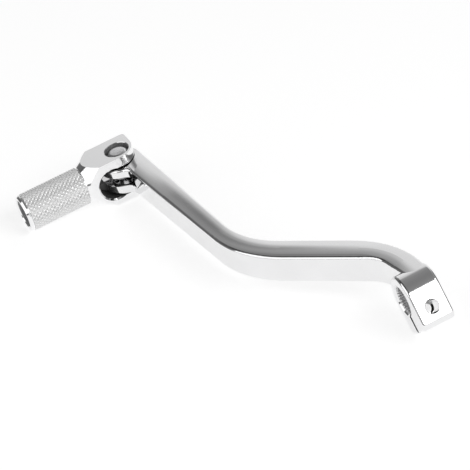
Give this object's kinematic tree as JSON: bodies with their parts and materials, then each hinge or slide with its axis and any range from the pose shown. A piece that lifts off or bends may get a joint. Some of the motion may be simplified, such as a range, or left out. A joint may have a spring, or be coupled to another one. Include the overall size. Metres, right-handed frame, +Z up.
{
  "type": "motorcycle gear shift lever",
  "caption": "Motorcycle gear shift lever: S-bent polished arm with a splined pinch clamp at one end and a sprung, rearward folding toe peg with a knurled grip at the other.",
  "frame": {"origin": "centre of the splined bore, at the middle of the clamp boss's width", "axes": "+Y along the bore axis and outboard, +X forwards along the lever from the shaft to the toe peg, +Z up"},
  "size_m": [0.1806, 0.1042, 0.029],
  "materials": {
    "arm_aluminium": "forged and mirror polished, machined clamp",
    "peg_aluminium": "turned, milled and polished, knurled grip",
    "pin_steel": "plain turned steel, peened end",
    "spring_steel": "oiled spring wire"
  },
  "bodies": {
    "lever": {"lever_arm": "arm_aluminium", "return_spring": "spring_steel"},
    "peg": {"folding_peg": "peg_aluminium", "pivot_pin": "pin_steel"}
  },
  "joints": [
    {"name": "peg_fold", "type": "hinge", "parent": "lever", "child": "peg", "pos_m": [0.1573, 0.0535, 0.00335], "axis": [0, 0, 1], "range_deg": [0, 55], "stiffness_Nm_per_rad": 1.1, "springref_deg": -20.05, "deforming": ["return_spring"]}
  ]
}
